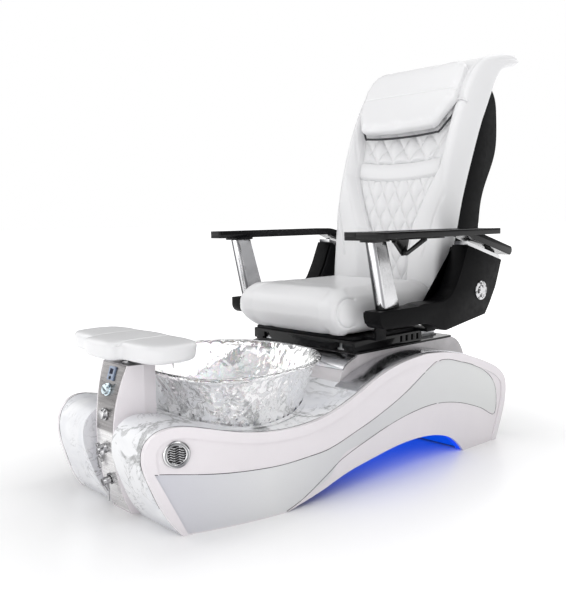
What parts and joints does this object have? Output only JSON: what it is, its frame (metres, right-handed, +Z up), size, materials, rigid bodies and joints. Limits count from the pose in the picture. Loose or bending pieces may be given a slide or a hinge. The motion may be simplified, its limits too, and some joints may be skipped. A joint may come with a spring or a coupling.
{
  "type": "pedicure spa chair",
  "caption": "Pedicure spa chair: reclining padded seat with armrests and tray on a sliding carriage, glass foot basin, control pillar and footrest on a curved base.",
  "frame": {"origin": "on the floor at the centre of the base's footprint, midway between its side covers and midway along its length", "axes": "+Z up; -Y is the way the sitter faces, towards the footrest; +X is the right-hand side seen from in front, where the tray is"},
  "size_m": [0.8842, 1.7822, 1.4841],
  "materials": {
    "marble_acrylic": "gloss",
    "pearl_acrylic": "gloss",
    "silver_inlay": "gloss",
    "satin_silver": "satin",
    "brushed": "satin",
    "chrome": "polished",
    "black_satin": "satin",
    "black_gloss": "gloss",
    "frame_steel": "matte",
    "zinc_steel": "satin",
    "blue_light": "gloss",
    "clear_glass": "polished",
    "white_upholstery": "satin",
    "white_plastic": "gloss",
    "grey_pipe": "matte",
    "rubber_black": "matte",
    "screen": "gloss",
    "knob_face": "polished"
  },
  "bodies": {
    "base": {"tub": "marble_acrylic", "side_panel_left": "pearl_acrylic", "side_panel_right": "pearl_acrylic", "side_insets": "silver_inlay", "vent_grilles": "chrome", "deck_rails": "satin_silver", "arch_liner": "black_satin", "led_strips": "blue_light", "levelling_feet": "rubber_black", "base_frame": "frame_steel", "pedestal_shell": "pearl_acrylic", "pedestal_trim": "satin_silver", "top_plate": "black_gloss", "seat_rails": "zinc_steel", "slide_actuator": "black_satin", "pillar_shell": "pearl_acrylic", "control_strip": "brushed", "display_unit": "screen", "footrest_sleeve": "chrome", "basin": "clear_glass", "drain_fitting": "chrome", "drain_pipe": "grey_pipe", "jet_motor": "white_plastic", "supply_hoses": "grey_pipe", "power_box": "black_satin", "service_panel": "black_satin", "spray_valve": "chrome"},
    "temperature_dial": {"temperature_knob": "knob_face"},
    "flow_dial": {"flow_knob": "chrome"},
    "cross_valve": {"cross_handle": "chrome"},
    "drain_control": {"drain_lever": "chrome"},
    "stopper": {"drain_stopper": "white_plastic"},
    "spray_control": {"spray_handle": "chrome"},
    "display_button": {"panel_button": "rubber_black"},
    "foot_column": {"footrest_post": "chrome"},
    "footrest": {"footrest_bracket": "frame_steel", "footrest_pad": "white_upholstery"},
    "seat": {"seat_carriage": "black_satin", "slide_rod": "zinc_steel", "seat_frame": "frame_steel", "seat_cushion": "white_upholstery", "arm_cover_left": "black_satin", "arm_cover_right": "black_satin", "front_posts": "chrome", "cover_caps": "chrome", "arm_bands": "chrome", "recline_shaft": "zinc_steel", "recline_actuator": "black_satin", "arm_pins": "zinc_steel"},
    "recline_ram": {"recline_rod": "zinc_steel"},
    "arm_left": {"armrest_left": "black_gloss"},
    "arm_right": {"armrest_right": "black_gloss", "tray_bracket": "black_gloss"},
    "tray": {"tray_board": "black_gloss"},
    "back": {"back_frame": "frame_steel", "back_shell": "black_satin", "back_cushion": "white_upholstery", "head_pillow": "white_upholstery"},
    "massage_unit": {"massage_carriage": "black_satin"},
    "massage_axle": {"massage_rollers": "white_plastic"}
  },
  "joints": [
    {"name": "temperature_turn", "type": "hinge", "parent": "base", "child": "temperature_dial", "pos_m": [0, -0.7219, 0.366], "axis": [0, -0.9699, 0.2435], "range_deg": [-90, 90]},
    {"name": "flow_turn", "type": "hinge", "parent": "base", "child": "flow_dial", "pos_m": [0, -0.73502, 0.296], "axis": [0, -0.9926, 0.1214], "range_deg": [-90, 90]},
    {"name": "cross_turn", "type": "hinge", "parent": "base", "child": "cross_valve", "pos_m": [0, -0.73837, 0.197], "axis": [0, -0.9985, -0.0541], "range_deg": [0, 270]},
    {"name": "drain_turn", "type": "hinge", "parent": "base", "child": "drain_control", "pos_m": [-0.026, -0.73489, 0.158], "axis": [0, -0.9924, -0.1231], "range_deg": [0, 60]},
    {"name": "stopper_lift", "type": "slide", "parent": "base", "child": "stopper", "axis": [0, 0, 1], "range_m": [0, 0.01]},
    {"name": "spray_turn", "type": "hinge", "parent": "base", "child": "spray_control", "pos_m": [0.004, -0.72571, 0.105], "axis": [0, -0.9764, -0.2159], "range_deg": [0, 90]},
    {"name": "button_press", "type": "slide", "parent": "base", "child": "display_button", "axis": [0, 0.954, -0.2999], "range_m": [0, 0.0015], "stiffness_N_per_m": 400, "springref_m": -0.001},
    {"name": "footrest_height", "type": "slide", "parent": "base", "child": "foot_column", "axis": [0, 0, 1], "range_m": [0, 0.1]},
    {"name": "footrest_tilt", "type": "hinge", "parent": "foot_column", "child": "footrest", "pos_m": [0, -0.65, 0.451], "axis": [-1, 0, 0], "range_deg": [-10, 15]},
    {"name": "seat_slide", "type": "slide", "parent": "base", "child": "seat", "axis": [0, 1, 0], "range_m": [-0.035, 0.12]},
    {"name": "recline", "type": "hinge", "parent": "seat", "child": "back", "pos_m": [0, 0.588, 0.577], "axis": [-1, 0, 0], "range_deg": [-12, 25]},
    {"name": "recline_drive", "type": "slide", "parent": "seat", "child": "recline_ram", "axis": [0, -1, 0], "range_m": [-0.0185, 0.0385]},
    {"name": "arm_left_lift", "type": "hinge", "parent": "seat", "child": "arm_left", "pos_m": [-0.34, 0.775, 0.712], "axis": [-1, 0, 0], "range_deg": [0, 75]},
    {"name": "arm_right_lift", "type": "hinge", "parent": "seat", "child": "arm_right", "pos_m": [0.34, 0.775, 0.712], "axis": [-1, 0, 0], "range_deg": [0, 75]},
    {"name": "tray_fold", "type": "hinge", "parent": "arm_right", "child": "tray", "pos_m": [0.3804, 0.222, 0.78], "axis": [0, 1, 0], "range_deg": [0, 90]},
    {"name": "massage_travel", "type": "slide", "parent": "back", "child": "massage_unit", "axis": [0, 0.3681, 0.9298], "range_m": [-0.15, 0.15]},
    {"name": "roller_spin", "type": "hinge", "parent": "massage_unit", "child": "massage_axle", "pos_m": [0, 0.71607, 0.98178], "axis": [1, 0, 0], "continuous": true}
  ],
  "couplings": [
    {"joint": "stopper_lift", "follows": "drain_turn", "m_per_rad": 0.00954},
    {"joint": "recline_drive", "follows": "recline", "m_per_rad": 0.087}
  ]
}
